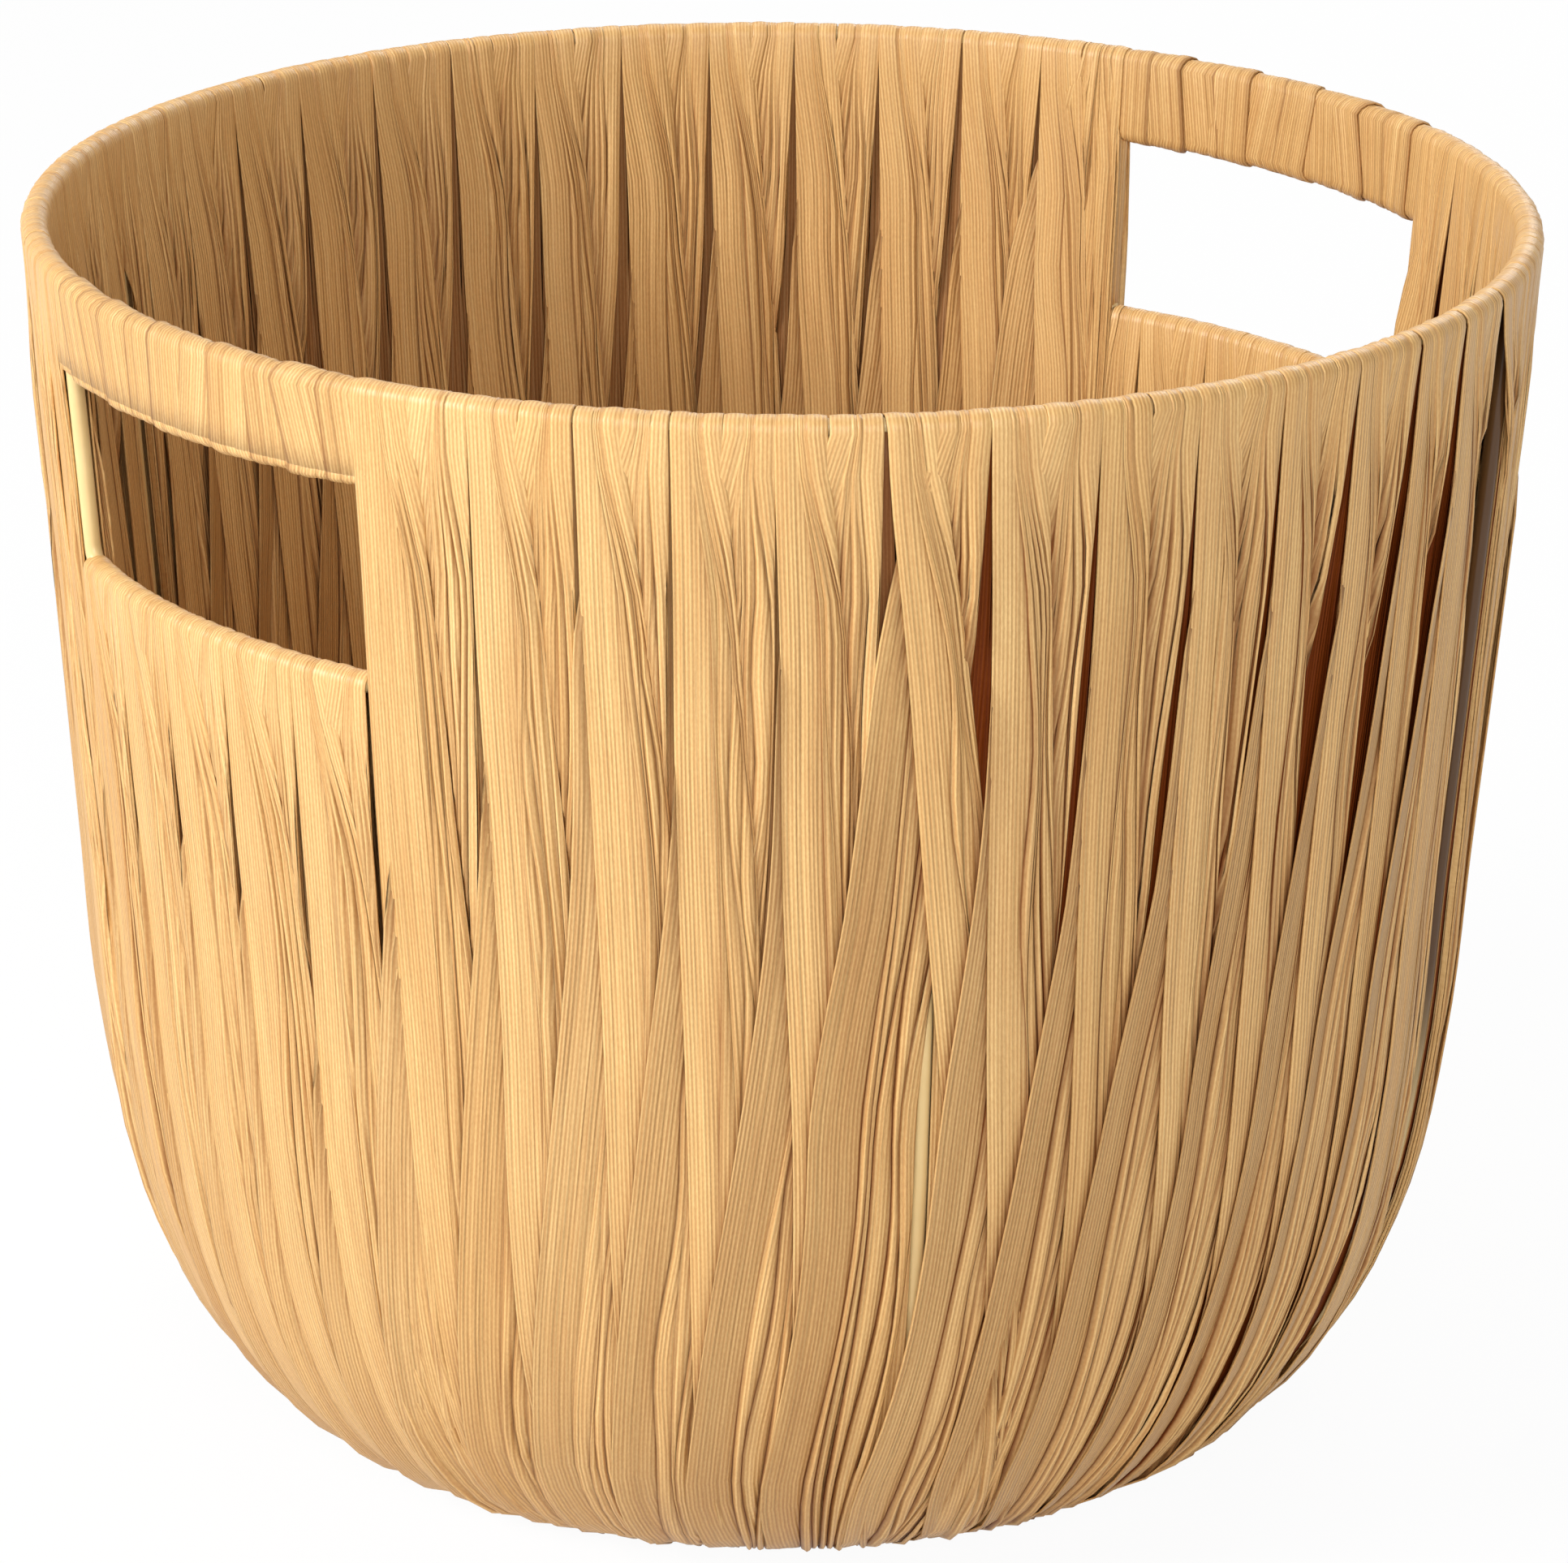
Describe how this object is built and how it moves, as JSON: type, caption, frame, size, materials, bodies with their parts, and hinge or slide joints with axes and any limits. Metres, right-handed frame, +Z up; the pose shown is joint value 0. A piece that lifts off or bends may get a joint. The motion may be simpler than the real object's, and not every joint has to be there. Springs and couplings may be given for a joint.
{
  "type": "round wound-ribbon storage basket",
  "caption": "Round open storage basket with a rounded foot and two hand openings below the rim: a welded wire frame wound all over with flat paper ribbon.",
  "frame": {"origin": "middle of the circle that the basket stands on, on the floor", "axes": "+Z up, +X and -X towards the two hand openings, +Y and -Y towards the two long sides; -Y faces the camera"},
  "size_m": [0.3598, 0.3592, 0.3001],
  "materials": {
    "wire": "cream coating, glossy",
    "ribbon": "straw-coloured ribbon of fine fused paper cords, soft sheen"
  },
  "bodies": {
    "root": {"top_ring": "wire", "base_ring": "wire", "floor_ring": "wire", "handle_frame_right": "wire", "handle_frame_left": "wire", "grip_rail_right": "wire", "grip_rail_left": "wire", "short_upright_right": "wire", "short_upright_left": "wire", "upright_back_right": "wire", "upright_back_left": "wire", "upright_front_left": "wire", "upright_front_right": "wire", "floor_bar_1": "wire", "floor_bar_2": "wire", "floor_bar_3": "wire", "back_ribbon_1": "ribbon", "back_ribbon_2": "ribbon", "back_ribbon_3": "ribbon", "front_ribbon_1": "ribbon", "front_ribbon_2": "ribbon", "front_ribbon_3": "ribbon", "under_handle_ribbon_right": "ribbon", "under_handle_ribbon_left": "ribbon", "grip_ribbon_right": "ribbon", "grip_ribbon_left": "ribbon", "floor_ribbon": "ribbon"}
  },
  "joints": []
}
